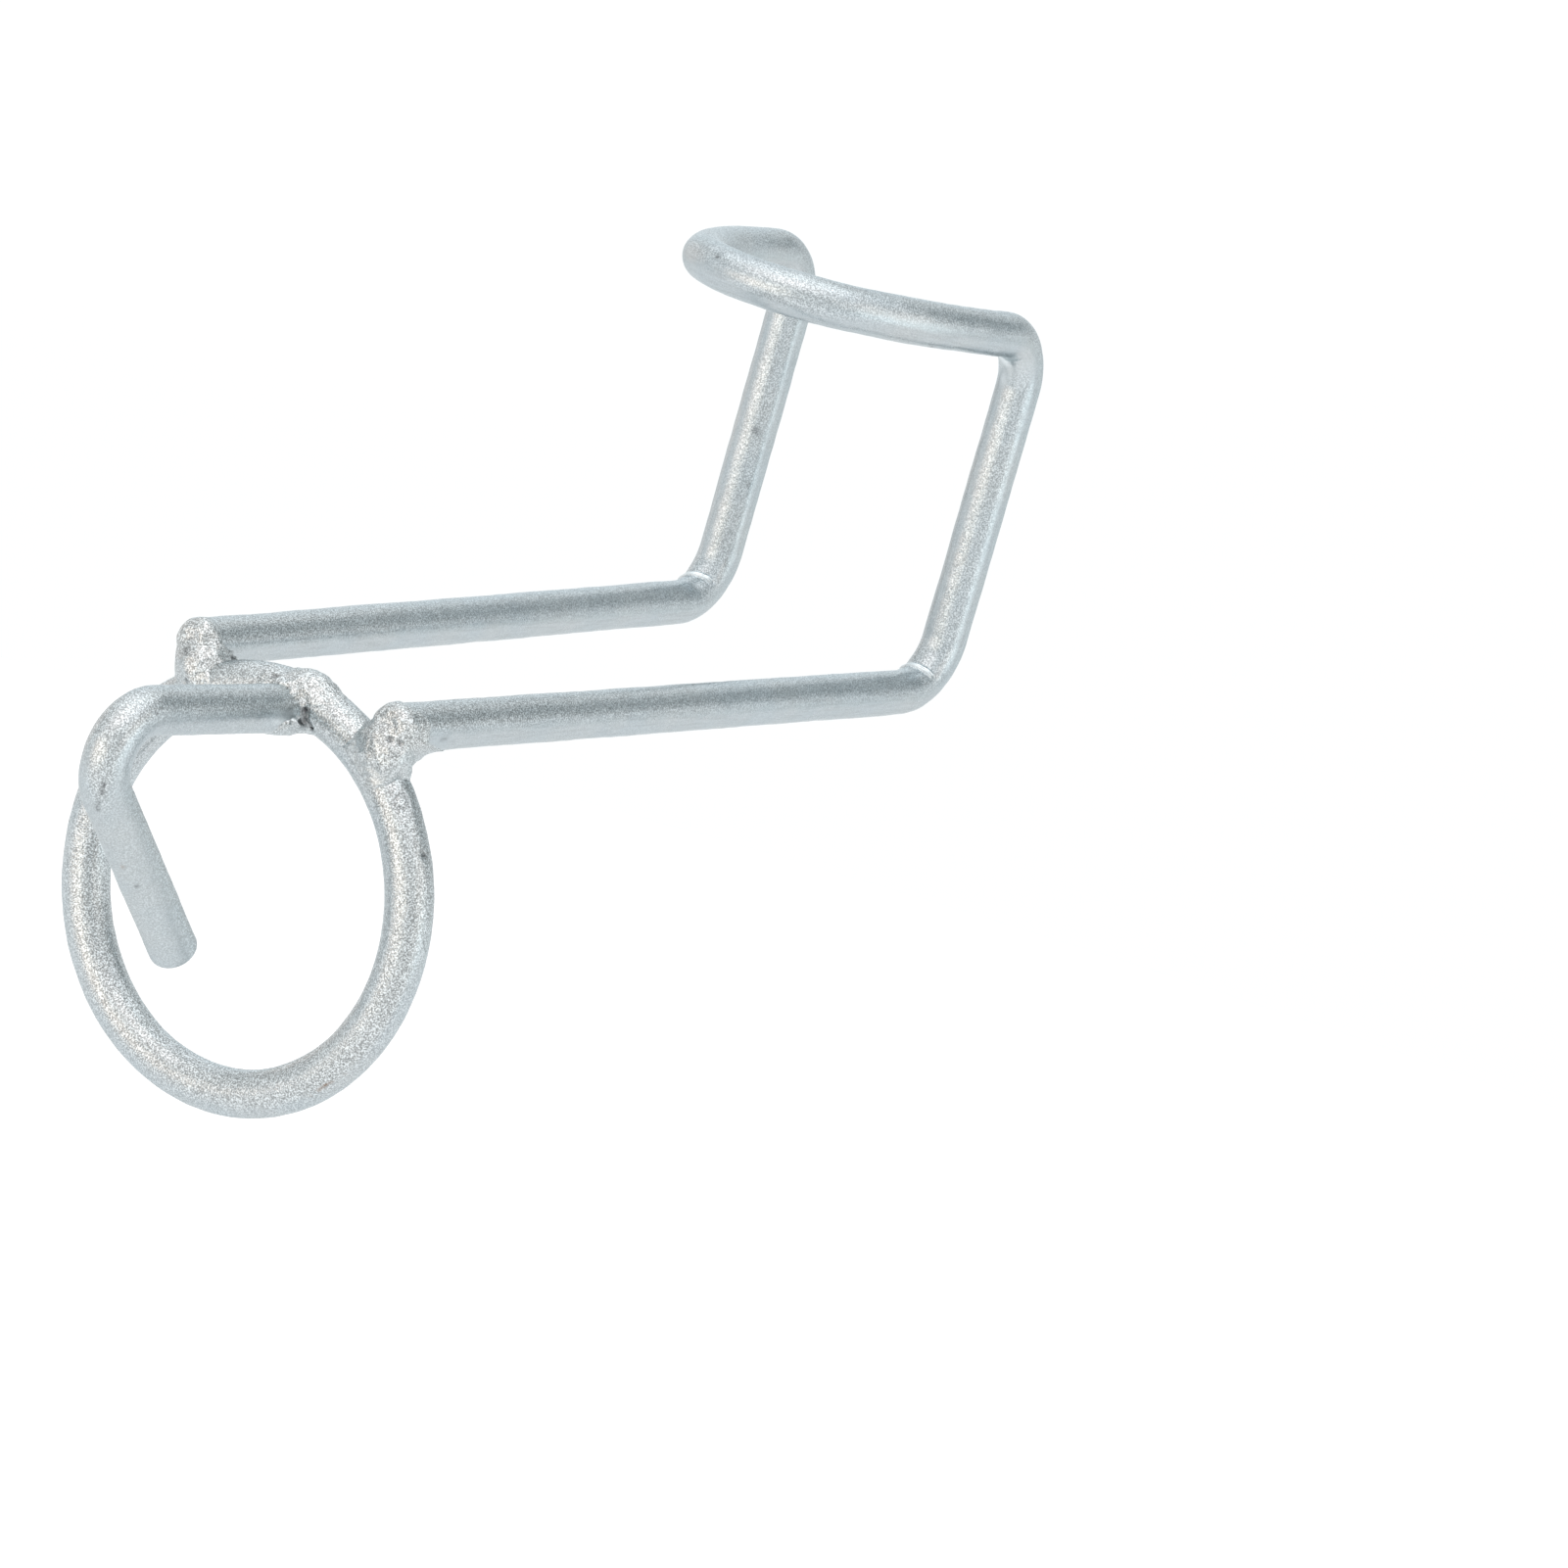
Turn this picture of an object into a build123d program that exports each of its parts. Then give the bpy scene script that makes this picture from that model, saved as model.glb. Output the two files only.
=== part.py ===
from build123d import *
import os
from math import cos, sin, radians, degrees, atan2

# Bucket hook of welded round rod. It hangs over the lip of a work bucket: the two legs cross the
# lip, the return reaches down inside the wall, and the arms carry the eye ring and the small
# front hook on the outside.
# Frame: millimetres. The origin is in the middle of the lip seat, on the side of the legs that
# bears on the lip. +Y runs from the ring to the legs, +Z from the arms to the return, +X across.
# As it hangs, -Y is down and the ring lies level.

# Rod
rod_d = 8.0

# Bent hanger
mouth_height = 57.4       # clear height of the lip mouth, lower bends to return
leg_spread = 50.0         # between the axes of the two legs
lower_bend_r = 10.5       # axis radius where an arm turns into a leg
upper_bend_r = 10.0       # axis radius where a leg turns into the return
return_straight = 11.0    # leg axis to the start of the return's arch
return_arch = 43.4        # depth of that arch
return_nose_r = 18.2      # axis radius of its nose
arm_length = 148.8        # middle plane of the ring to the leg axis
arm_drop = 6.3            # fall of the arms from the lower bends to the ring
arm_overhang = 2.6        # arm ends stand this far past the ring's middle plane
arm_end_round = 2.6       # ends melted round by their welds

# Eye ring
ring_bore_d = 57.2        # clear bore of the eye
arm_seat_angle = 59.0     # place of each arm on the ring, in degrees up from the ring's middle
weld_set = 0.4            # depth that each arm is set into the ring by its weld

# Front hook
hook_sink = 2.0           # hook axis below the ring's axis at its top
hook_set = 0.4            # depth that the hook's cut end is set into the ring by its weld
hook_reach = 54.2         # ring's middle plane to the corner of the hook's axis
hook_limb = 57.3          # corner of the axis to the tip
hook_turn = 45.0          # slope of the limb, in degrees down from the arms' direction
hook_bend_r = 8.0
hook_tip_round = 1.0

# Weld beads
arm_bead_proud = 2.0      # bead's radius over the rod's, across the arm
arm_bead_front = 0.4      # bead stands this far past the arm's end
arm_bead_back = 11.0      # and runs this far behind the ring's middle plane
hook_bead_proud = 0.8     # bead's radius over the rod's, round the hook's cut end
hook_bead_wing = 2.0      # bead runs this far along the ring past each side of the hook

# Places that follow from the sizes above
rod_r = rod_d / 2
leg_x = leg_spread / 2
leg_y = rod_r
return_z = (mouth_height + rod_d) / 2
corner_z = -return_z
ring_y = leg_y - arm_length
ring_r = (ring_bore_d + rod_d) / 2
seat_r = ring_r + rod_d - weld_set
seat_x = seat_r * cos(radians(arm_seat_angle))
seat_rise = seat_r * sin(radians(arm_seat_angle))
seat_z = corner_z - arm_drop
ring_z = seat_z - seat_rise
hook_z = ring_z + ring_r - hook_sink
hook_start_y = ring_y - rod_r + hook_set
arm_bead_length = arm_overhang + arm_bead_front + arm_bead_back
arm_bead_shift = arm_bead_back - arm_bead_length / 2


def rod_along(path):
    """Round rod swept along a path of straight runs and tangent arcs."""
    return sweep((path ^ 0) * Circle(rod_r), path=path)


def round_end(rod, point, radius):
    """Breaks the edge of the rod's cut end that lies nearest to a point."""
    rim = rod.edges().filter_by(GeomType.CIRCLE).sort_by_distance(point)[0]
    return fillet(rim, radius)


def spheroid(length, across):
    """Spheroid about Y: a half ellipse turned about its long axis."""
    half = EllipticalCenterArc((0, 0), across / 2, length / 2, start_angle=-90, arc_size=180)
    return revolve(make_face(half + Line(half @ 1, half @ 0)), Axis.Y)


def arm_direction(side):
    """Unit vector along an arm from its seat on the ring to its lower bend, side +1 right, -1 left."""
    run = Vector(side * leg_x, leg_y, corner_z) - Vector(side * seat_x, ring_y, seat_z)
    return run.normalized()


def arm_end(side):
    """Centre of an arm's cut end, past the ring's middle plane."""
    run = arm_direction(side)
    return Vector(side * seat_x, ring_y, seat_z) - run * (arm_overhang / run.Y)


def return_arch_edges():
    """Three-centred arch from the right leg round the nose to the left leg."""
    side_r = leg_x ** 2 + (return_arch - return_nose_r) ** 2 - return_nose_r ** 2
    side_r = side_r / (2 * (leg_x - return_nose_r))
    start_y = leg_y - return_straight
    nose_y = start_y - (return_arch - return_nose_r)
    turn = degrees(atan2(start_y - nose_y, side_r - leg_x))
    right = CenterArc((leg_x - side_r, start_y, return_z), side_r, 0, -turn)
    nose = CenterArc((0, nose_y, return_z), return_nose_r, -turn, 2 * turn - 180)
    left = CenterArc((side_r - leg_x, start_y, return_z), side_r, turn - 180, -turn)
    return [right, nose, left]


def hanger_rod():
    """One rod: left arm, leg, arched return, leg and right arm."""
    stations = [
        arm_end(1),
        Vector(leg_x, leg_y, corner_z),
        Vector(leg_x, leg_y, return_z),
        Vector(leg_x, leg_y - return_straight, return_z),
    ]
    right = FilletPolyline(*stations, radius=[lower_bend_r, upper_bend_r])
    left = mirror(right, about=Plane.YZ)
    path = Wire(right.edges() + return_arch_edges() + left.edges())
    rod = round_end(rod_along(path), arm_end(1), arm_end_round)
    return round_end(rod, arm_end(-1), arm_end_round)


def ring_rod():
    """Eye ring: one closed turn of rod in the plane across the arms."""
    return Pos(0, ring_y, ring_z) * Rot(X=90) * Torus(ring_r, rod_r)


def hook_rod():
    """Front hook: a straight shank from the ring, one bend, and the limb back under the ring."""
    corner = Vector(0, ring_y - hook_reach, hook_z)
    limb = Vector(0, cos(radians(hook_turn)), -sin(radians(hook_turn)))
    tip = corner + limb * hook_limb
    start = Vector(0, hook_start_y, hook_z)
    path = Wire(FilletPolyline(start, corner, tip, radius=hook_bend_r).edges())
    return round_end(rod_along(path), tip, hook_tip_round)


def arm_bead(side):
    """Bead round an arm's seat on the ring, before the rods are taken out of it."""
    run = arm_direction(side)
    out = Vector(side * cos(radians(arm_seat_angle)), 0, sin(radians(arm_seat_angle)))
    middle = Vector(0, ring_y, ring_z) + out * (ring_r + rod_r - weld_set / 2) + run * arm_bead_shift
    place = Plane(origin=middle, x_dir=out.cross(run), z_dir=run)
    return place * Rot(X=90) * spheroid(arm_bead_length, rod_d + 2 * arm_bead_proud)


def hook_bead():
    """Bead round the hook's cut end on the ring, before the rods are taken out of it."""
    bead = spheroid(rod_d + 2 * hook_bead_wing, rod_d + 2 * hook_bead_proud)
    return Pos(0, hook_start_y, hook_z) * Rot(Z=90) * bead


hanger = hanger_rod()
ring = ring_rod()
hook = hook_rod()

pieces = {
    "hanger_frame": hanger - ring,
    "eye_ring": ring,
    "front_hook": hook - ring,
    "weld_left": arm_bead(-1) - hanger - ring,
    "weld_right": arm_bead(1) - hanger - ring,
    "weld_hook": hook_bead() - hook - ring,
}

os.makedirs("parts", exist_ok=True)
for name, shape in pieces.items():
    solid = shape.solids()[0]
    solid.label = name
    export_step(solid, f"parts/{name}.step")
    print(name, len(shape.solids()), round(solid.volume, 1), solid.is_valid)
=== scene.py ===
import bpy
import numpy as np
from mathutils import Matrix


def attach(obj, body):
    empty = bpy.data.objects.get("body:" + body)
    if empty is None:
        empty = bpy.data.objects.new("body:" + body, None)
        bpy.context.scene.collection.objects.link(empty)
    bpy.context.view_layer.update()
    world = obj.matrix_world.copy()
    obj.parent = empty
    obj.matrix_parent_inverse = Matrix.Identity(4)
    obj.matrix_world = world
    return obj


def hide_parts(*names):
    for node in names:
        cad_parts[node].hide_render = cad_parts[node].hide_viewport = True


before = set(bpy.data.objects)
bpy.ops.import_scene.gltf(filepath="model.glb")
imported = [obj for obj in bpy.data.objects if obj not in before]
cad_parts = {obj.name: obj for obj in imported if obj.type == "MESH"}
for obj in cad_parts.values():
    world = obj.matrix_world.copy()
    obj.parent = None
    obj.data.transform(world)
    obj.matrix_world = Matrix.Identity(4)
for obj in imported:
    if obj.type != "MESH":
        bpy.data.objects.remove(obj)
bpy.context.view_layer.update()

# Bucket hook of welded, zinc-plated round rod. All sizes are in millimetres in the solids' frame, and
# meshes are written in metres.

METRES = 0.001      # in a millimetre
PATH_STEP = 0.05    # between the points of a rod's path
ROD_R = 4.0
LEG_X, LEG_Y = 25.0, 4.0
CORNER_Z, RETURN_Z = -32.7, 32.7
LOWER_BEND_R, UPPER_BEND_R = 10.5, 10.0
ARCH_Y, ARCH_DEPTH, NOSE_R = -7.0, 43.4, 18.2
RING_Y, RING_R = -144.8, 32.6
SEAT_ANGLE, SEAT_SET, ARM_DROP = np.radians(59.0), 0.4, 6.3
SEAT_R = RING_R + 2 * ROD_R - SEAT_SET
SEAT_Z = CORNER_Z - ARM_DROP
RING_Z = SEAT_Z - SEAT_R * np.sin(SEAT_ANGLE)
SEAT_X = SEAT_R * np.cos(SEAT_ANGLE)
ARM_OVERHANG, ARM_END_ROUND = 2.6, 2.6
HOOK_SINK, HOOK_SET, HOOK_REACH, HOOK_LIMB, HOOK_BEND_R = 2.0, 0.4, 54.2, 57.3, 8.0
HOOK_Z = RING_Z + RING_R - HOOK_SINK
HOOK_START_Y = RING_Y - ROD_R + HOOK_SET
HOOK_CORNER = np.array([0.0, RING_Y - HOOK_REACH, HOOK_Z])
HOOK_TIP = HOOK_CORNER + HOOK_LIMB * np.array([0.0, np.sqrt(0.5), -np.sqrt(0.5)])
FLOOR_DROP, FLOOR_R = 180.0, 1000.0


def unit(v):
    """Rows scaled to length one."""
    v = np.asarray(v, float)
    return v / np.linalg.norm(v, axis=-1, keepdims=True)


def ease(x, low, high):
    """Smooth step: 0 below low, 1 above high, and 3t^2 - 2t^3 between them."""
    t = np.clip((x - low) / (high - low), 0, 1)
    return t * t * (3 - 2 * t)


def ripple(points, wavelength, seed):
    """Gentle unevenness: plane waves of random direction and phase, added up to a spread of one."""
    rng, count = np.random.default_rng(seed), 30
    waves = unit(rng.normal(size=(count, 3))) * (2 * np.pi / (wavelength * rng.uniform(0.7, 1.5, (count, 1))))
    phases = rng.uniform(0, 2 * np.pi, count)
    return np.sin(points @ waves.T + phases).sum(-1) / np.sqrt(count / 2)


# Paths of the rods

def straight(start, end):
    """Points on a line: start + t * (end - start)."""
    count = max(2, int(np.linalg.norm(end - start) / PATH_STEP))
    return start + np.linspace(0, 1, count)[:, None] * (end - start)


def tangent_arc(corner, before, after, radius):
    """Arc that rounds a corner between two unit directions:
    centre + radius * (sin(w - t) * a + sin(t) * b) / sin(w)."""
    inner = np.arccos(np.dot(-before, after))
    reach = radius / np.tan(inner / 2)
    centre = corner + unit(after - before) * radius / np.sin(inner / 2)
    first = (corner - before * reach - centre) / radius
    last = (corner + after * reach - centre) / radius
    turn = np.pi - inner
    t = np.linspace(0, turn, max(3, int(turn * radius / PATH_STEP)))[:, None]
    return centre + radius * (np.sin(turn - t) * first + np.sin(t) * last) / np.sin(turn)


def bent_path(stations, radii):
    """Straight runs between stations, with each inner station rounded by a tangent arc."""
    stations = [np.asarray(p, float) for p in stations]
    pieces, last = [], stations[0]
    for before, corner, after, radius in zip(stations, stations[1:], stations[2:], radii):
        bend = tangent_arc(corner, unit(corner - before), unit(after - corner), radius)
        pieces += [straight(last, bend[0])[:-1], bend[:-1]]
        last = bend[-1]
    pieces.append(straight(last, stations[-1]))
    return np.concatenate(pieces)


def flat_arc(centre, radius, start, end):
    """Arc in the return's level: centre + radius * (cos t, sin t)."""
    t = np.linspace(start, end, max(3, int(abs(end - start) * radius / PATH_STEP)))
    x, y = centre[0] + radius * np.cos(t), centre[1] + radius * np.sin(t)
    return np.stack([x, y, np.full_like(t, RETURN_Z)], 1)


def arm_run(side):
    """Unit direction of an arm, from the ring to its lower bend."""
    return unit(np.array([side * (LEG_X - SEAT_X), LEG_Y - RING_Y, CORNER_Z - SEAT_Z]))


def arm_end(side):
    """Middle of an arm's cut end."""
    run = arm_run(side)
    return np.array([side * SEAT_X, RING_Y, SEAT_Z]) - run * (ARM_OVERHANG / run[1])


def hanger_path():
    """Right arm, leg, three-centred arch of the return, left leg and left arm, with the sideways direction at
    each point."""
    right = bent_path(
        [arm_end(1), (LEG_X, LEG_Y, CORNER_Z), (LEG_X, LEG_Y, RETURN_Z), (LEG_X, ARCH_Y, RETURN_Z)],
        [LOWER_BEND_R, UPPER_BEND_R],
    )
    depth = ARCH_DEPTH - NOSE_R
    side_r = (LEG_X ** 2 + depth ** 2 - NOSE_R ** 2) / (2 * (LEG_X - NOSE_R))
    turn = np.arctan2(depth, side_r - LEG_X)
    flank = flat_arc((LEG_X - side_r, ARCH_Y), side_r, 0, -turn)
    nose = flat_arc((0, ARCH_Y - depth), NOSE_R, -turn, turn - np.pi)
    mirror = np.array([-1.0, 1.0, 1.0])
    arch = np.concatenate([flank[1:], nose[1:], (flank * mirror)[::-1][1:]])
    path = np.concatenate([right, arch, (right * mirror)[::-1][1:]])
    along = unit(np.gradient(path, axis=0))
    sideways = np.zeros_like(path)
    sideways[: len(right), 0] = 1
    sideways[-len(right):, 0] = -1
    middle = slice(len(right), len(path) - len(right))
    sideways[middle] = np.cross([0.0, 0.0, 1.0], along[middle])
    return path, sideways


# Rod surfaces

def carry_along(path, sideways, reach, radius, around):
    """A ring of points carried along a path. Point = path(s) + radius * (cos a * sideways + sin a * third), where
    third is along x sideways. Gives the points, their outward directions and, for the draw lines,
    (cos a, sin a, s / 60)."""
    s = np.r_[0, np.cumsum(np.linalg.norm(np.diff(path, axis=0), axis=1))]
    take = reach * s[-1]
    middle = np.stack([np.interp(take, s, path[:, k]) for k in range(3)], 1)
    along = np.gradient(path, s, axis=0)
    along = unit(np.stack([np.interp(take, s, along[:, k]) for k in range(3)], 1))
    lead = np.stack([np.interp(take, s, sideways[:, k]) for k in range(3)], 1)
    lead = unit(lead - along * np.sum(lead * along, 1, keepdims=True))
    third = np.cross(along, lead)
    a = np.linspace(0, 2 * np.pi, around, endpoint=False)[None, :, None]
    outward = np.cos(a) * lead[:, None] + np.sin(a) * third[:, None]
    drawn = np.concatenate(np.broadcast_arrays(np.cos(a), np.sin(a), take[:, None, None] / 60), -1)
    return middle[:, None] + radius[:, None, None] * outward, outward, drawn


def cut_end(length, corner_round):
    """Profile of a cut end: shares of the length from the end and radii, over the flat face and round its
    broken edge."""
    t = np.linspace(0, np.pi / 2, 9)
    face = np.linspace(0.12, 1, 8)[:-1] * (ROD_R - corner_round)
    far = np.r_[np.zeros(len(face)), corner_round * (1 - np.cos(t))]
    return far / length, np.r_[face, ROD_R - corner_round * (1 - np.sin(t))]


def rod_profile(path, start_round, end_round, spacing, busy=()):
    """Share of the path and radius for each ring of a rod: cut end, steps that close up near the busy places
    (place, how much closer, width), cut end."""
    s = np.r_[0, np.cumsum(np.linalg.norm(np.diff(path, axis=0), axis=1))]
    length = s[-1]
    at_start, r_start = cut_end(length, start_round)
    at_end, r_end = cut_end(length, end_round)
    fine = np.linspace(at_start[-1] + spacing / length, 1 - at_end[-1] - spacing / length, 8001)
    pace = np.ones_like(fine)
    for place, more, width in busy:
        nearest = s[np.argmin(np.linalg.norm(path - place, axis=1))]
        pace += more * np.exp(-((fine * length - nearest) / width) ** 2)
    count = np.r_[0, np.cumsum(pace[1:])] * (fine[1] - fine[0]) * length / spacing
    body = np.interp(np.linspace(0, count[-1], int(count[-1]) + 1), count, fine)
    reach = np.r_[at_start, body, 1 - at_end[::-1]]
    return reach, np.r_[r_start, np.full(len(body), ROD_R), r_end[::-1]]


def skin(name, grid, closed, marks, poles=None):
    """Mesh of a grid of points that closes round its second parameter. A closed grid also closes along its first;
    an open one is closed by a fan of triangles to a pole at each end. marks are numbers per point that the finish
    reads."""
    rows, cols = grid.shape[:2]
    index = np.arange(rows * cols).reshape(rows, cols)
    below = index if closed else index[:-1]
    above = np.roll(index, -1, 0) if closed else index[1:]
    quads = np.stack([below, np.roll(below, -1, 1), np.roll(above, -1, 1), above], -1).reshape(-1, 4)
    points, corners = grid.reshape(-1, 3), [quads.ravel()]
    starts = [np.arange(len(quads)) * 4]
    if poles is not None:
        points = np.concatenate([points, poles])
        first, last = rows * cols, rows * cols + 1
        start_fan = np.stack([np.full(cols, first), np.roll(index[0], -1), index[0]], 1)
        end_fan = np.stack([np.full(cols, last), index[-1], np.roll(index[-1], -1)], 1)
        fans = np.concatenate([start_fan, end_fan])
        starts.append(len(quads) * 4 + np.arange(len(fans)) * 3)
        corners.append(fans.ravel())
    corners, starts = np.concatenate(corners), np.concatenate(starts)
    mesh = bpy.data.meshes.new(name)
    mesh.vertices.add(len(points))
    mesh.vertices.foreach_set("co", (points * METRES).astype(np.float32).ravel())
    mesh.loops.add(len(corners))
    mesh.loops.foreach_set("vertex_index", corners.astype(np.int32))
    mesh.polygons.add(len(starts))
    mesh.polygons.foreach_set("loop_start", starts.astype(np.int32))
    mesh.update(calc_edges=True)
    mesh.polygons.foreach_set("use_smooth", np.ones(len(starts), bool))
    for mark, values in marks.items():
        values = values.reshape(rows * cols, -1)
        if poles is not None:
            values = np.concatenate([values, values[:1], values[-1:]])
        kind, field = ("FLOAT", "value") if values.shape[1] == 1 else ("FLOAT_VECTOR", "vector")
        mesh.attributes.new(mark, kind, "POINT").data.foreach_set(field, values.astype(np.float32).ravel())
    mesh.validate()
    piece = bpy.data.objects.new(name, mesh)
    bpy.context.scene.collection.objects.link(piece)
    return piece


def scores(points, lines):
    """Soft marks: the sum of amount * exp(-(distance to a short line / width)^2), over lines of
    (start, end, width, amount)."""
    total = np.zeros(points.shape[:-1])
    for start, end, width, amount in lines:
        start, span = np.array(start, float), np.array(end, float) - np.array(start, float)
        share = np.clip((points - start) @ span / max(span @ span, 1e-9), 0, 1)
        gap2 = np.sum((points - start - share[..., None] * span) ** 2, -1)
        total += amount * np.exp(-gap2 / width ** 2)
    return total


def dab(place, width, amount):
    """A round mark: a line of no length."""
    return (place, place, width, amount)


# Open pits in the welds, carved and painted dark inside as painted shade
LEFT_PITS = [
    ((-15.9, -142.4, -40.0), (-16.9, -139.4, -39.7), 0.45, 1.3),
    dab((-20.4, -148.9, -40.2), 1.1, 0.4),
    dab((-18.5, -149.4, -44.8), 0.55, 0.8),
]
RIGHT_PITS = [
    dab((21.9, -148.3, -40.3), 0.4, 1.2),
    dab((23.5, -147.5, -40.4), 0.42, 1.2),
    dab((17.8, -149.0, -41.6), 0.5, 0.3),
]
HOOK_PITS = [
    ((5.4, -149.0, -41.4), (5.4, -148.8, -43.0), 0.46, 3.2),
    ((5.4, -148.8, -43.0), (6.6, -148.1, -43.8), 0.38, 2.8),
    ((-3.0, -148.2, -38.5), (-2.2, -148.2, -38.4), 0.45, 0.5),
]


def uneven(points, outward, seed, lift):
    """Drawn and bent rod isn't quite true: it stands in by up to a tenth of a millimetre, and lift says how much
    more or less it stands out at its marks."""
    wave = 0.028 * ripple(points, 14.0, seed) + 0.014 * ripple(points, 3.2, seed + 1)
    return points + (np.minimum(wave - 0.07, -0.005) + lift)[..., None] * outward


def grain_and_glint_by_facing(outward, least, most):
    """Grain of the plate, with painted glints: coarser on sides that face up or to the front right, where the
    camera stands, and finer on the others. The finish sets its flecks and a less blue tone by it, as painted
    glints.
    """
    front = outward @ np.array([0.50, -0.86, 0.10])
    return least + (most - least) * np.maximum(ease(outward[..., 2], -0.15, 0.5), ease(front, 0.70, 0.94))


def lower_bend_press(points, outward, side, bar_at, skew):
    """Mark of the bender inside a lower bend: the inner side is pressed to two flats that meet in a shallow
    valley, with a short raised bar across the rod along it, at bar_at and askew by skew.
    Valley = depth * (1 - |t| / width)^2, where t is the distance along the bend. Gives the lift, and how strongly
    the bar is painted lighter, as a painted highlight."""
    depth = 0.42
    inward, along = np.array([0, -1, 1]) / np.sqrt(2), np.array([0, 1, 1]) / np.sqrt(2)
    middle = np.array([side * LEG_X, LEG_Y, CORNER_Z]) + inward * LOWER_BEND_R * (np.sqrt(2) - 1)
    offset = points - middle
    t = offset @ along - skew * offset[..., 0] - bar_at
    near = 1 - ease(np.linalg.norm(offset, axis=-1), 6.5, 9.0)
    width = np.where(t > 0, 3.0, 2.4)
    valley = near * ease(outward @ inward, 0.30, 0.70) * depth * np.clip(1 - np.abs(t) / width, 0, 1) ** 2
    bar = near * ease(outward @ inward, 0.1, 0.3)
    bar = bar * (1 - ease(offset[..., 0], 2.5, 3.3)) * (1 - ease(np.abs(t), 0.15, 0.75))
    # The second value paints the bar lighter, a painted highlight.
    return depth * bar - valley, 0.8 * bar


def upper_bend_crease(points, outward, side, at):
    """Crease of the bender inside an upper bend: a shallow groove across the rod with a slight flat beside it.
    Gives the lift, and how far the inner side is painted lighter, as a painted highlight."""
    inward, along = np.array([0, -1, -1]) / np.sqrt(2), np.array([0, -1, 1]) / np.sqrt(2)
    middle = np.array([side * LEG_X, LEG_Y, RETURN_Z]) + inward * UPPER_BEND_R * (np.sqrt(2) - 1)
    offset = points - middle
    t = offset @ along - at
    here = (1 - ease(np.linalg.norm(offset, axis=-1), 5.5, 8.0)) * ease(outward @ inward, 0.1, 0.7)
    crease = -here * (0.05 * np.exp(-(t / 0.4) ** 2) + 0.03 * (1 - ease(np.abs(t + 2.0), 0.6, 2.4)))
    # The second value paints the inner side lighter, a painted highlight, most where it faces down.
    return crease, here * (0.15 + 0.6 * ease(-outward[..., 2], 0.62, 0.9))


def hanger_frame():
    """Arms, legs and return: one rod, with the bender's marks inside its four bends."""
    path, sideways = hanger_path()
    bends = [((side * LEG_X, LEG_Y, z), 2.2, 5.5) for side in (-1, 1) for z in (CORNER_Z, RETURN_Z)]
    bars = [((25.0, 0.0, -30.8), 3.5, 2.2), ((-25.0, 0.4, -30.3), 3.5, 2.2)]
    reach, radius = rod_profile(path, ARM_END_ROUND, ARM_END_ROUND, 0.52, bends + bars)
    grid, outward, drawn = carry_along(path, sideways, reach, radius, 66)
    right_press, right_bar_highlight = lower_bend_press(grid, outward, 1, -1.4, 0.06)
    left_press, left_bar_highlight = lower_bend_press(grid, outward, -1, -0.85, 0.22)
    right_crease, right_inner_highlight = upper_bend_crease(grid, outward, 1, 1.8)
    left_crease, left_inner_highlight = upper_bend_crease(grid, outward, -1, 1.2)
    press = right_press + left_press + right_crease + left_crease
    # Painted highlight: the bars and the upper bends' inner sides are painted lighter, and their grain is hidden
    # there.
    painted_highlight = right_bar_highlight + left_bar_highlight + right_inner_highlight + left_inner_highlight
    press -= scores(grid, [dab((-5.8, -53.0, 34.8), 0.5, 0.2), dab((23.8, -103.8, -33.8), 1.8, 0.12)])
    # Dark spots on the rod; one sits in a small dent on the return's nose.
    dirt_and_shade = scores(grid, [
        dab((-5.8, -53.0, 34.8), 0.45, 0.7),
        dab((-22.75, 0.7, 0.0), 0.8, 0.5),
        dab((-21.7, 1.7, -9.8), 0.7, 0.35),
        dab((24.0, -26.6, 29.1), 0.6, 0.5),
        ((24.8, -138.6, -39.7), (24.8, -137.4, -39.4), 0.35, 0.4),
    ])
    grid = uneven(grid, outward, 3, press)
    grain_and_glint = grain_and_glint_by_facing(outward, 0.10, 0.42 + 0.18 * ease(-grid[..., 1], 60, 130)) * (1 - painted_highlight)
    marks = {"grain_and_glint": grain_and_glint, "painted_highlight": painted_highlight, "drawn": drawn, "dirt_and_shade": dirt_and_shade}
    return skin("hanger_rod", grid, False, marks, path[[0, -1]])


def eye_ring():
    """Eye ring: a circle carried round a circle."""
    t = np.linspace(0, 2 * np.pi, 4001)
    path = np.stack([RING_R * np.cos(t), np.full_like(t, RING_Y), RING_Z + RING_R * np.sin(t)], 1)
    sideways = np.tile([0.0, 1.0, 0.0], (len(t), 1))
    reach = np.linspace(0, 1, 620, endpoint=False)
    grid, outward, _ = carry_along(path, sideways, reach, np.full(len(reach), ROD_R), 84)
    # Dark marks: a round mark and spots, and painted shade where the hook weld's pits reach the ring.
    from_round_mark = np.abs(np.linalg.norm(grid - np.array([26.4, -147.0, -49.1]), axis=-1) - 1.2)
    dirt_and_shade = 0.32 * np.exp(-(from_round_mark / 0.4) ** 2) + scores(grid, HOOK_PITS + [
        dab((32.05, -145.4, -55.9), 0.65, 0.75),
        dab((22.8, -147.9, -46.7), 0.8, 0.4),
    ])
    rust = scores(grid, [
        ((25.9, -147.6, -97.6), (27.1, -147.7, -96.1), 0.26, 0.6),
        ((27.1, -147.7, -96.1), (28.1, -147.6, -95.2), 0.22, 0.5),
        dab((24.8, -147.6, -99.0), 0.4, 0.22),
        dab((29.9, -147.2, -93.3), 0.35, 0.2),
    ])
    grid = uneven(grid, outward, 11, -0.3 * dirt_and_shade)
    marks = {"grain_and_glint": grain_and_glint_by_facing(outward, 0.36, 0.66), "dirt_and_shade": dirt_and_shade, "rust": rust}
    return skin("eye_ring_rod", grid, True, marks)


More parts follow.
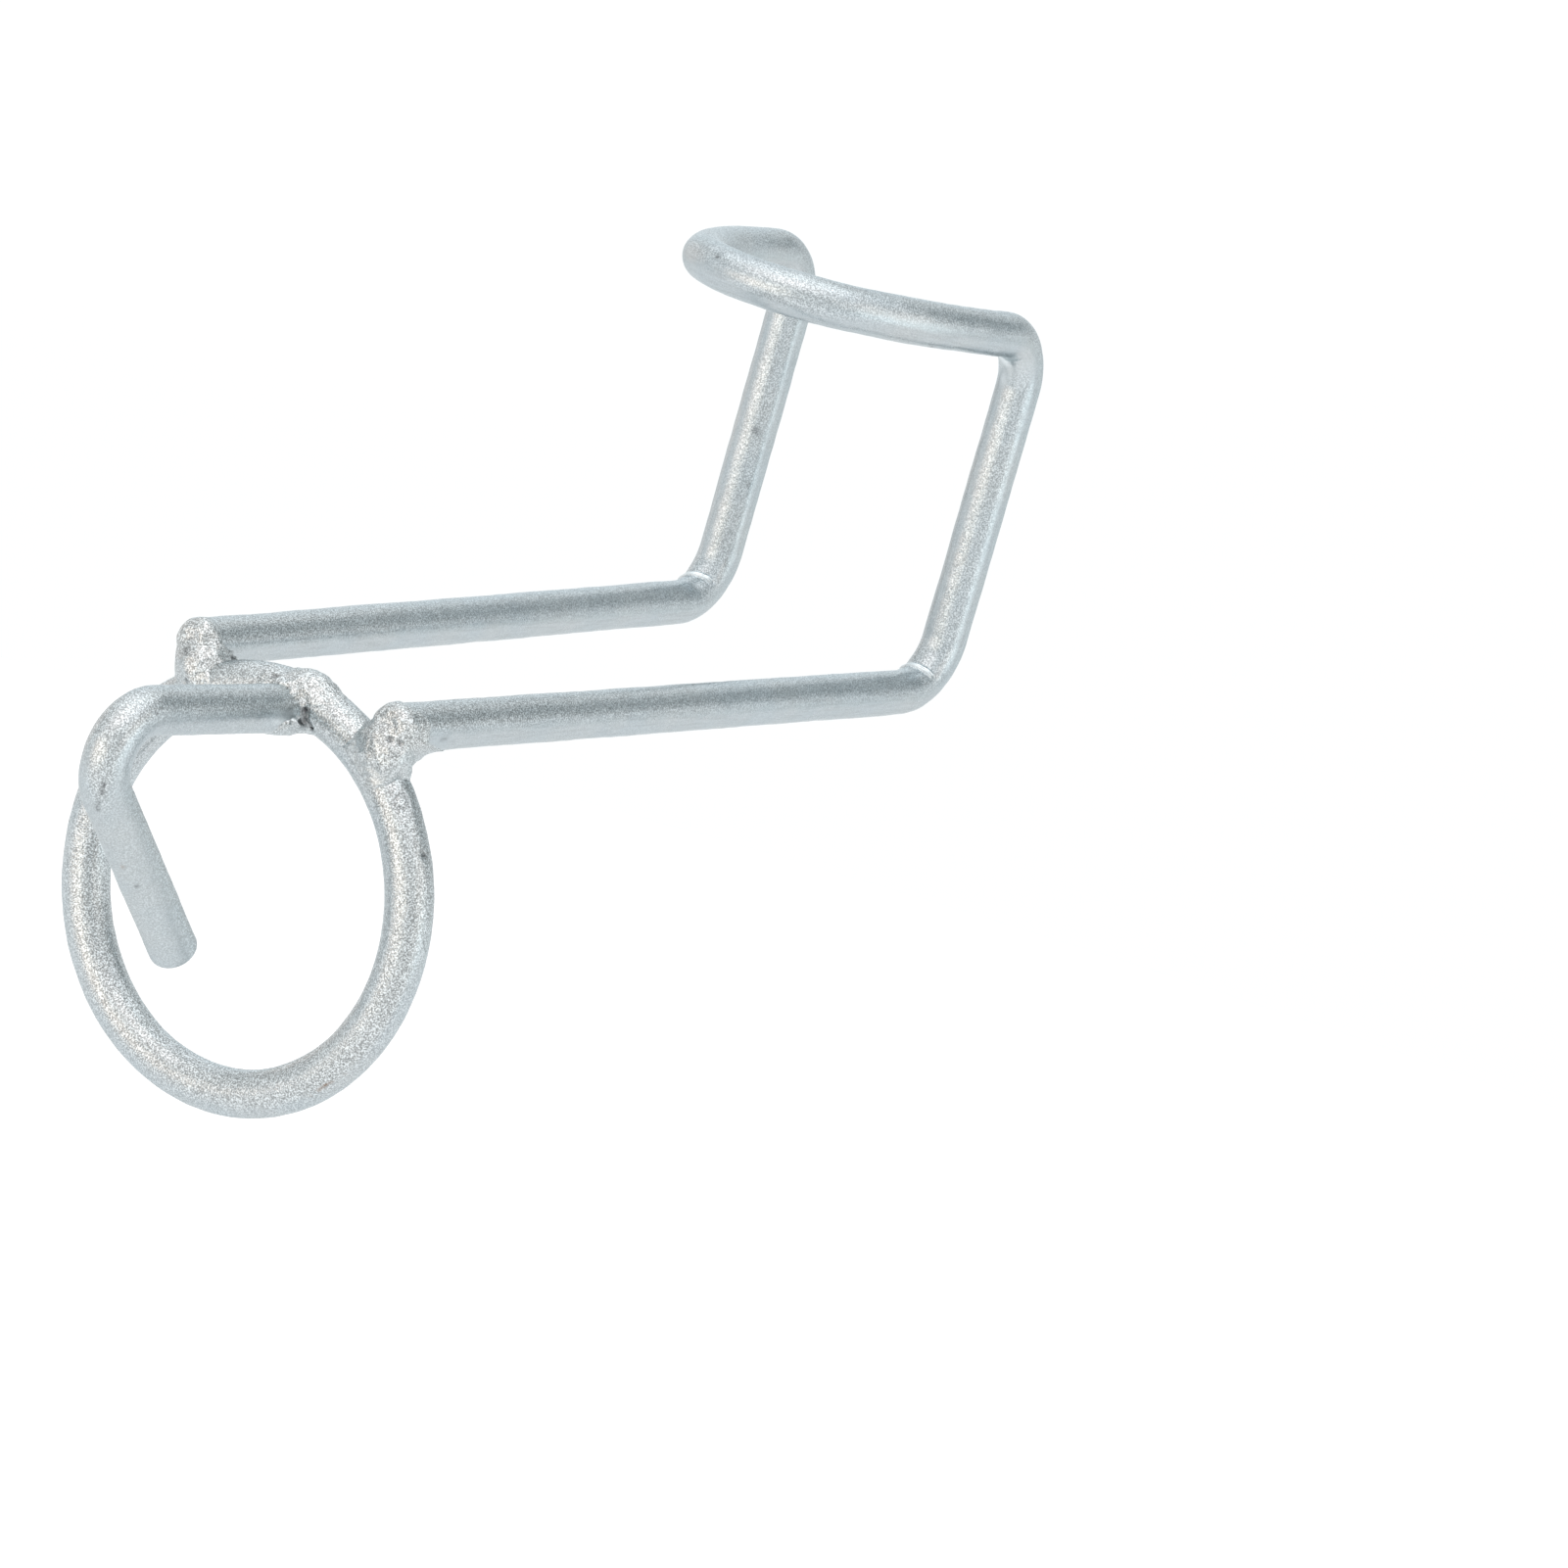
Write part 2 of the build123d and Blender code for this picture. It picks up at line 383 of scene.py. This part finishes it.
def front_hook():
    """Front hook: shank from the ring, one bend and the limb with its cut tip. The limb is the most satin and is
    painted a little lighter, and the shank's side beside its weld is rougher and painted much lighter: both are a
    painted highlight."""
    path = bent_path([(0, HOOK_START_Y, HOOK_Z), HOOK_CORNER, HOOK_TIP], [HOOK_BEND_R])
    sideways = np.tile([1.0, 0.0, 0.0], (len(path), 1))
    reach, radius = rod_profile(path, 0.6, 1.1, 0.34)
    grid, outward, _ = carry_along(path, sideways, reach, radius, 84)
    broken = ease(ripple(grid, 1.3, 23), -0.9, 0.5)
    dirt_and_shade = broken * scores(grid, [((2.7, -190.3, -53.5), (1.6, -188.9, -58.0), 0.45, 0.6)])
    dirt_and_shade += scores(grid, [dab((2.4, -175.5, -70.9), 0.4, 0.5)])
    rust = scores(grid, [((1.4, -179.0, -67.2), (1.8, -179.4, -68.3), 0.35, 0.5)])
    grid = uneven(grid, outward, 19, -0.12 * dirt_and_shade)
    limb = ease(-grid[..., 2], 47.0, 56.0)
    weld_side = ease(grid[..., 1], -157.0, -150.0) * ease(outward[..., 0], 0.90, 0.995)
    # Painted highlight: the limb a little and the shank's side beside its weld much more are painted lighter; both
    # are also rougher.
    satin, painted_highlight = 0.8 * limb + 0.9 * weld_side, 0.06 * limb + 0.6 * weld_side
    grain_and_glint = grain_and_glint_by_facing(outward, 0.20, 0.55)
    marks = {"grain_and_glint": grain_and_glint, "satin": satin, "painted_highlight": painted_highlight, "dirt_and_shade": dirt_and_shade, "rust": rust}
    return skin("front_hook_rod", grid, False, marks, path[[0, -1]])


# Weld surfaces

def rod_gap(p, start, end, radius, corner):
    """Distance from a round rod with cut, rounded ends: radial and axial overshoot, joined as a corner of that
    radius."""
    run = unit(end - start)
    axial = (p - (start + end) / 2) @ run
    radial = np.linalg.norm(p - (start + end) / 2 - axial[..., None] * run, axis=-1)
    x = radial - (radius - corner)
    y = np.abs(axial) - (np.linalg.norm(end - start) / 2 - corner)
    return np.minimum(np.maximum(x, y), 0) + np.hypot(np.maximum(x, 0), np.maximum(y, 0)) - corner


def ring_gap(p):
    """Distance from the eye ring: from its circle, less the rod's radius."""
    wide = np.hypot(p[..., 0], p[..., 2] - RING_Z) - RING_R
    return np.hypot(wide, p[..., 1] - RING_Y) - ROD_R


def lump_gap(p, middle, axes, sizes):
    """Near distance from an ellipsoid with given axes: (length of the scaled offset - 1) * smallest half
    size."""
    q = (p - middle) @ np.array(axes).T / np.array(sizes)
    return (np.linalg.norm(q, axis=-1) - 1) * min(sizes)


def melt(a, b, width):
    """Smooth union of two distances: the smaller, less width * h * (1 - h) where they are close."""
    h = np.clip(0.5 + 0.5 * (b - a) / width, 0, 1)
    return b + (a - b) * h - width * h * (1 - h)


def taper_gap(p, start, end, wide, slim):
    """Distance from a tapering round bar: to its line, less a radius that goes from wide to slim along it."""
    span = end - start
    share = np.clip((p - start) @ span / (span @ span), 0, 1)
    return np.linalg.norm(p - start - share[..., None] * span, axis=-1) - (wide + share * (slim - wide))


def bead_skin(name, heart, pole, gap, limit, pits):
    """Weld bead: on each ray from its heart, the distance at which gap() turns positive, up to a limit inside the
    rods. A ladder of steps finds the place, and halving makes it exact."""
    rows, cols = 160, 210
    pole = unit(pole)
    east = unit(np.cross(pole, [0.31, 0.22, 0.93]))
    north = np.cross(pole, east)
    polar = np.linspace(0, np.pi, rows + 2)[1:-1, None]
    turn = np.linspace(0, 2 * np.pi, cols, endpoint=False)[None]
    rays = (np.sin(polar) * np.cos(turn))[..., None] * east
    rays = rays + (np.sin(polar) * np.sin(turn))[..., None] * north
    rays = rays + np.cos(polar)[..., None] * np.ones_like(turn)[..., None] * pole
    rays = np.concatenate([rays.reshape(-1, 3), [pole, -pole]])
    ladder = np.linspace(0, limit, 23)[1:]
    inside = gap(heart + rays[:, None] * ladder[None, :, None]) < 0
    first_out = np.argmin(np.c_[inside, np.zeros(len(rays), bool)], 1)
    near = np.r_[0, ladder][first_out]
    far = np.r_[ladder, limit][np.minimum(first_out, len(ladder))]
    for _ in range(11):
        middle = (near + far) / 2
        within = gap(heart + rays * middle[:, None]) < 0
        near, far = np.where(within, middle, near), np.where(within, far, middle)
    points = heart + rays * near[:, None]
    grid = points[:-2].reshape(rows, cols, 3)[::-1]
    outward = unit(grid - heart)
    # Painted shade: the carved pits are painted dark inside.
    dirt_and_shade = scores(grid, pits)
    marks = {"grain_and_glint": grain_and_glint_by_facing(outward, 0.40, 0.70), "satin": np.full_like(dirt_and_shade, 0.2), "dirt_and_shade": dirt_and_shade}
    return skin(name, grid, False, marks, points[[-1, -2]])


def arm_weld(side, name, seed, crest, sag, fill, wall, pits):
    """Weld at an arm's seat: the arm's end, melted round, has run down over the ring's front, and a fillet tapers
    off back under the arm. The toe is steep on the inner side of the arm, where crest is its height, and smooth on
    the outer side. sag is how far down the ring the front has run, fill is how wide the fillets in the inner and
    outer crooks are, and wall is how full the inner side stands, from 0 to 1."""
    run = arm_run(side)
    out = np.array([side * np.cos(SEAT_ANGLE), 0, np.sin(SEAT_ANGLE)])
    down = np.array([side * np.sin(SEAT_ANGLE), 0, -np.cos(SEAT_ANGLE)])
    heart = np.array([0, RING_Y, RING_Z]) + out * (RING_R + ROD_R - SEAT_SET / 2)
    end = arm_end(side)

    def gap(p):
        along, rise, across = (p - heart) @ run, (p - heart) @ out, (p - heart) @ down
        wander = ripple(p, 5.0, seed)
        outer = ease(across, -1.5, 2.5)
        arm = rod_gap(p, end - run * 0.35, end + run * 40, ROD_R + 0.08, 2.3)
        seat = melt(arm, ring_gap(p), fill[0] + (fill[1] - fill[0]) * outer)
        web = taper_gap(p, heart + run * 0.5, heart + run * 9.5 + out * 2.6, 4.6, 1.7)
        drip_middle = heart - run * 1.3 - out * 0.5 + down * sag
        drip = lump_gap(p, drip_middle, (run, out, down), (3.0, 3.8, 2.5 + sag))
        body = melt(melt(seat, web, 1.8), drip, 1.7)
        inner_toe = 4.6 * np.clip(1 - rise / 3.2, 0, 1.25) ** 2
        outer_toe = 1.8 + 9 * ease(5.5 - rise, 0, 4.5)
        past_toe = along - (0.3 + inner_toe + outer * (outer_toe - inner_toe) + 0.2 * wander)
        over_arm = ease(past_toe, 0, 0.6 + 2.7 * outer)
        ridge = crest * ease(-across, 0.8, 3.2) * ease(rise, 1.0, 3.0) * np.exp(-((past_toe + 0.9) / 1.4) ** 2)
        inner_ring = ease(-across + 0.4 * wander, 2.4, 4.8) * (1 - wall * ease(rise, 1.0, 3.0))
        over_ring = np.maximum(inner_ring, ease(across + 0.3 * wander, 3.8 + sag, 6.0 + sag))
        over_ring = np.maximum(over_ring, ease(-rise, 4.0, 6.0))
        rough = 0.05 * ripple(p, 3.2, seed + 1) + 0.03 * ripple(p, 1.5, seed + 2)
        return body - ridge + 0.7 * np.maximum(over_arm, over_ring) + rough + 0.5 * scores(p, pits)

    return bead_skin(name, heart, out, gap, 12.5, pits)


def hook_weld(pits):
    """Weld where the shank butts against the ring: a thin ragged bead, with a smooth fillet below, an open pit on
    one side and a low run of metal along the ring's top."""
    heart = np.array([0, HOOK_START_Y + 0.6, HOOK_Z + 0.4])
    butt, shank_far = np.array([0, HOOK_START_Y, HOOK_Z]), np.array([0, RING_Y - 40.0, HOOK_Z])

    def gap(p):
        wander = ripple(p, 2.6, 41)
        shank = rod_gap(p, butt, shank_far, ROD_R, 0.6)
        low = ease(HOOK_Z + 0.4 - p[..., 2], 0, 2.0)
        bead = lump_gap(p, butt + [0.1, 0.9, 0.6], np.eye(3), (5.4, 2.7, 4.2))
        crest = lump_gap(p, np.array([5.2, -147.2, -40.2]), np.eye(3), (1.9, 1.6, 1.5))
        lean = np.array([[0.993, 0, -0.117], [0, 1, 0], [0.117, 0, 0.993]])
        top_run = lump_gap(p, np.array([3.2, -145.1, -38.5]), lean, (4.5, 3.3, 2.7))
        body = melt(melt(melt(shank, ring_gap(p), 1.2 + 4.2 * low), bead, 1.0), crest, 1.6)
        body = melt(body, top_run, 1.0)
        toe = 0.5 + 2.2 * low + 0.3 * (1 - low) * wander
        over_shank = ease(HOOK_START_Y - p[..., 1] - toe, 0, 0.6 + 3.4 * low)
        run_reach = 3.5 * ease(p[..., 0], 0, 2.0) * ease(p[..., 2], HOOK_Z + 2.0, HOOK_Z + 4.0)
        over_ring = ease(np.abs(p[..., 0]) - run_reach + 0.3 * wander, 5.2, 7.4)
        rough = 0.045 * ripple(p, 2.6, 43) + 0.025 * ripple(p, 1.3, 44)
        return body + 0.6 * np.maximum(over_shank, over_ring) + rough + 0.5 * np.minimum(scores(p, pits), 1.2)

    return bead_skin("hook_weld_bead", heart, np.array([1.0, 0, 0]), gap, 10.6, pits)


# Finish

def zinc_finish(name, tint):
    """Zinc plate: a satin metal whose fine grain, coarser frosting and slight waves come from its bump, with
    lengthwise draw lines, pale and dark flecks that are partly painted glints, a painted highlight, dark grey
    dirt and painted shade, and brown rust where the marks say."""
    material = bpy.data.materials.new(name)
    material.use_nodes = True
    tree = material.node_tree
    shader = tree.nodes["Principled BSDF"]
    shader.inputs["Metallic"].default_value = 1.0
    shader.inputs["Specular Tint"].default_value = (0.80, 0.83, 0.84, 1)
    place = tree.nodes.new("ShaderNodeTexCoord").outputs["Object"]

    def mark(name, part="Fac"):
        node = tree.nodes.new("ShaderNodeAttribute")
        node.attribute_name = name
        return node.outputs[part]

    def noise(where, scale, detail, rough):
        node = tree.nodes.new("ShaderNodeTexNoise")
        node.inputs["Scale"].default_value = scale
        node.inputs["Detail"].default_value = detail
        node.inputs["Roughness"].default_value = rough
        tree.links.new(where, node.inputs["Vector"])
        return node.outputs["Fac"]

    def spread(value, low, high, to_low, to_high):
        node = tree.nodes.new("ShaderNodeMapRange")
        for slot, number in zip(("From Min", "From Max", "To Min", "To Max"), (low, high, to_low, to_high)):
            node.inputs[slot].default_value = number
        tree.links.new(value, node.inputs["Value"])
        return node.outputs["Result"]

    def blend(share, first, second):
        node = tree.nodes.new("ShaderNodeMix")
        node.data_type = "RGBA"
        tree.links.new(share, node.inputs["Factor"])
        for slot, colour in (("A", first), ("B", second)):
            socket = [s for s in node.inputs if s.name == slot and s.type == "RGBA"][0]
            if isinstance(colour, tuple):
                socket.default_value = (*colour, 1)
            else:
                tree.links.new(colour, socket)
        return [s for s in node.outputs if s.type == "RGBA"][0]

    def combine(operation, first, second):
        node = tree.nodes.new("ShaderNodeMath")
        node.operation = operation
        tree.links.new(first, node.inputs[0])
        tree.links.new(second, node.inputs[1])
        return node.outputs[0]

    def bump(height, distance, strength, below=None):
        node = tree.nodes.new("ShaderNodeBump")
        node.inputs["Distance"].default_value = distance
        tree.links.new(height, node.inputs["Height"])
        if isinstance(strength, float):
            node.inputs["Strength"].default_value = strength
        else:
            tree.links.new(strength, node.inputs["Strength"])
        if below is not None:
            tree.links.new(below, node.inputs["Normal"])
        return node.outputs["Normal"]

    def shade(factor):
        return tuple(min(1.0, c * factor) for c in tint)

    grain_and_glint, fleck = noise(place, 2600, 1.5, 0.5), noise(place, 4000, 0.5, 0.5)
    frost, cloud = noise(place, 700, 2.0, 0.5), noise(place, 85, 3.0, 0.55)
    draw_lines = noise(mark("drawn", "Vector"), 9.0, 3.0, 0.5)
    pale_fleck, dark_fleck = spread(fleck, 0.525, 0.645, 0, 1), spread(fleck, 0.475, 0.345, 0, 0.9)
    cool = tuple(c * f for c, f in zip(tint, (0.95, 0.985, 1.01)))
    neutral = tuple(c * f for c, f in zip(tint, (0.965, 0.945, 0.93)))
    base = blend(spread(cloud, 0.35, 0.65, 0, 1), cool, tint)
    base = blend(spread(draw_lines, 0.45, 0.70, 0, 0.4), base, shade(0.72))
    # Where the grain mark is high, on sides facing up or towards the camera, the ring and the welds, the tone is
    # less blue and the flecks stronger: partly random tone, partly painted glints.
    base = blend(spread(mark("grain_and_glint"), 0.40, 0.66, 0, 1), base, neutral)
    base = blend(combine("MULTIPLY", pale_fleck, mark("grain_and_glint")), base, shade(1.85))
    base = blend(combine("MULTIPLY", dark_fleck, mark("grain_and_glint")), base, shade(0.28))
    # Painted highlight: lighter colour on the bender's bars, the upper bends' inner sides, the hook's limb and the
    # shank's side by its weld.
    base = blend(mark("painted_highlight"), base, shade(1.6))
    # Near-black for dirt spots, and as painted shade inside the carved weld pits.
    base = blend(mark("dirt_and_shade"), base, (0.05, 0.05, 0.054))
    base = blend(mark("rust"), base, (0.22, 0.14, 0.09))
    tree.links.new(base, shader.inputs["Base Color"])
    satin = combine("ADD", spread(frost, 0.3, 0.7, 0.26, 0.35), spread(mark("satin"), 0, 1, 0, 0.16))
    tree.links.new(satin, shader.inputs["Roughness"])
    waves = bump(cloud, 0.00025, 0.35)
    frosted = bump(frost, 0.00006, 0.5, waves)
    tree.links.new(bump(grain_and_glint, 0.00013, mark("grain_and_glint"), frosted), shader.inputs["Normal"])
    return material


ROD_FINISH = zinc_finish("zinc_plate_on_rod", (0.481, 0.52, 0.534))
WELD_FINISH = zinc_finish("zinc_plate_on_weld", (0.49, 0.523, 0.532))

LEFT_WELD = dict(seed=51, crest=0.40, sag=0.2, fill=(3.6, 4.4), wall=0.0, pits=LEFT_PITS)
RIGHT_WELD = dict(seed=61, crest=0.12, sag=1.9, fill=(1.6, 6.2), wall=1.0, pits=RIGHT_PITS)
PIECES = [
    (hanger_frame(), "hanger_frame", "zinc_rod", ROD_FINISH),
    (eye_ring(), "eye_ring", "zinc_rod", ROD_FINISH),
    (front_hook(), "front_hook", "zinc_rod", ROD_FINISH),
    (arm_weld(-1, "left_weld_bead", **LEFT_WELD), "weld_left", "zinc_weld", WELD_FINISH),
    (arm_weld(1, "right_weld_bead", **RIGHT_WELD), "weld_right", "zinc_weld", WELD_FINISH),
    (hook_weld(HOOK_PITS), "weld_hook", "zinc_weld", WELD_FINISH),
]
for piece, node, slot, finish in PIECES:
    piece.data.materials.append(finish)
    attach(piece, "root")
    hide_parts(node)


# Floor, light and camera

def pale_floor():
    """Flat round floor, FLOOR_DROP under the ring's lowest point."""
    t = np.linspace(0, 2 * np.pi, 96, endpoint=False)
    level = np.full_like(t, RING_Z - RING_R - ROD_R - FLOOR_DROP)
    points = np.stack([FLOOR_R * np.cos(t), FLOOR_R * np.sin(t), level], 1) * METRES
    mesh = bpy.data.meshes.new("floor")
    mesh.from_pydata(points.tolist(), [], [list(range(len(t)))])
    floor = bpy.data.objects.new("floor", mesh)
    bpy.context.scene.collection.objects.link(floor)
    paint = bpy.data.materials.new("white_floor")
    paint.use_nodes = True
    shader = paint.node_tree.nodes["Principled BSDF"]
    shader.inputs["Base Color"].default_value = (0.92, 0.92, 0.92, 1)
    shader.inputs["Roughness"].default_value = 0.9
    shader.inputs["Specular IOR Level"].default_value = 0.0
    mesh.materials.append(paint)


def heading(azimuth, elevation):
    """Unit direction from the hook: azimuth from -Y towards +X, elevation above the floor, in degrees."""
    a, e = np.radians(azimuth), np.radians(elevation)
    return (np.sin(a) * np.cos(e), -np.cos(a) * np.cos(e), np.sin(e))


def studio_light(level, zones):
    """Soft surround of even white, with lit and shaded zones of (azimuth, elevation, edge, colour to add). A zone
    is full within core of its middle and fades out at its edge. Angles are in degrees."""
    core = 3.0
    world = bpy.data.worlds.new("studio")
    bpy.context.scene.world = world
    world.use_nodes = True
    tree = world.node_tree
    sight = tree.nodes.new("ShaderNodeTexCoord").outputs["Generated"]
    total = None
    for azimuth, elevation, edge, colour in zones:
        dot = tree.nodes.new("ShaderNodeVectorMath")
        dot.operation = "DOT_PRODUCT"
        dot.inputs[1].default_value = heading(azimuth, elevation)
        tree.links.new(sight, dot.inputs[0])
        zone = tree.nodes.new("ShaderNodeMapRange")
        zone.interpolation_type = "SMOOTHSTEP"
        zone.inputs["From Min"].default_value = np.cos(np.radians(edge))
        zone.inputs["From Max"].default_value = np.cos(np.radians(core))
        tree.links.new(dot.outputs["Value"], zone.inputs["Value"])
        add = tree.nodes.new("ShaderNodeVectorMath")
        add.operation = "MULTIPLY_ADD"
        tree.links.new(zone.outputs["Result"], add.inputs[0])
        add.inputs[1].default_value = colour
        add.inputs[2].default_value = level
        if total is not None:
            tree.links.new(total, add.inputs[2])
        total = add.outputs[0]
    lit = tree.nodes.new("ShaderNodeVectorMath")
    lit.operation = "MAXIMUM"
    lit.inputs[1].default_value = (0.05, 0.05, 0.05)
    tree.links.new(total, lit.inputs[0])
    tree.links.new(lit.outputs[0], tree.nodes["Background"].inputs["Color"])


def photograph_camera():
    """Camera at the photograph's place: columns are its right, up and back directions."""
    place = (0.527069, -0.870494, 0.150730)
    right, down = (0.79517, 0.542772, 0.270378), (0.336205, -0.023546, -0.941495)
    ahead = (-0.50465, 0.83955, -0.201205)
    camera = bpy.data.cameras.new("camera")
    camera.lens, camera.sensor_width = 132.802, 36.0
    camera.clip_start, camera.clip_end = 0.01, 100.0
    holder = bpy.data.objects.new("camera", camera)
    columns = np.array([right, np.negative(down), np.negative(ahead)]).T
    holder.matrix_world = Matrix.Translation(place) @ Matrix(columns.tolist()).to_4x4()
    bpy.context.scene.collection.objects.link(holder)
    bpy.context.scene.camera = holder


pale_floor()
studio_light((1.000, 1.016, 1.022), [
    (150, 36, 30, (-0.52, -0.49, -0.48)),
    (22, 56, 30, (0.62, 0.53, 0.50)),
    (-22, 56, 30, (0.61, 0.53, 0.51)),
    (67, 56, 30, (0.22, 0.22, 0.23)),
    (-112, 56, 30, (0.32, 0.32, 0.34)),
    (110, 68, 24, (0.38, 0.36, 0.37)),
    (-75, 58, 24, (0.29, 0.28, 0.27)),
    (180, 85, 30, (0.50, 0.52, 0.52)),
    (90, 18, 28, (0.30, 0.21, 0.16)),
    (-141, 18, 28, (0.18, 0.22, 0.25)),
    (0, 2, 26, (0.90, 0.77, 0.65)),
    (-26, 2, 26, (0.59, 0.44, 0.35)),
    (103, 2, 26, (0.39, 0.42, 0.42)),
    (-103, 2, 26, (0.22, 0.13, 0.09)),
    (100, -12, 20, (0.33, 0.38, 0.39)),
    (160, -12, 20, (0.11, 0.13, 0.12)),
])
photograph_camera()
bpy.context.scene.view_settings.view_transform = "Standard"
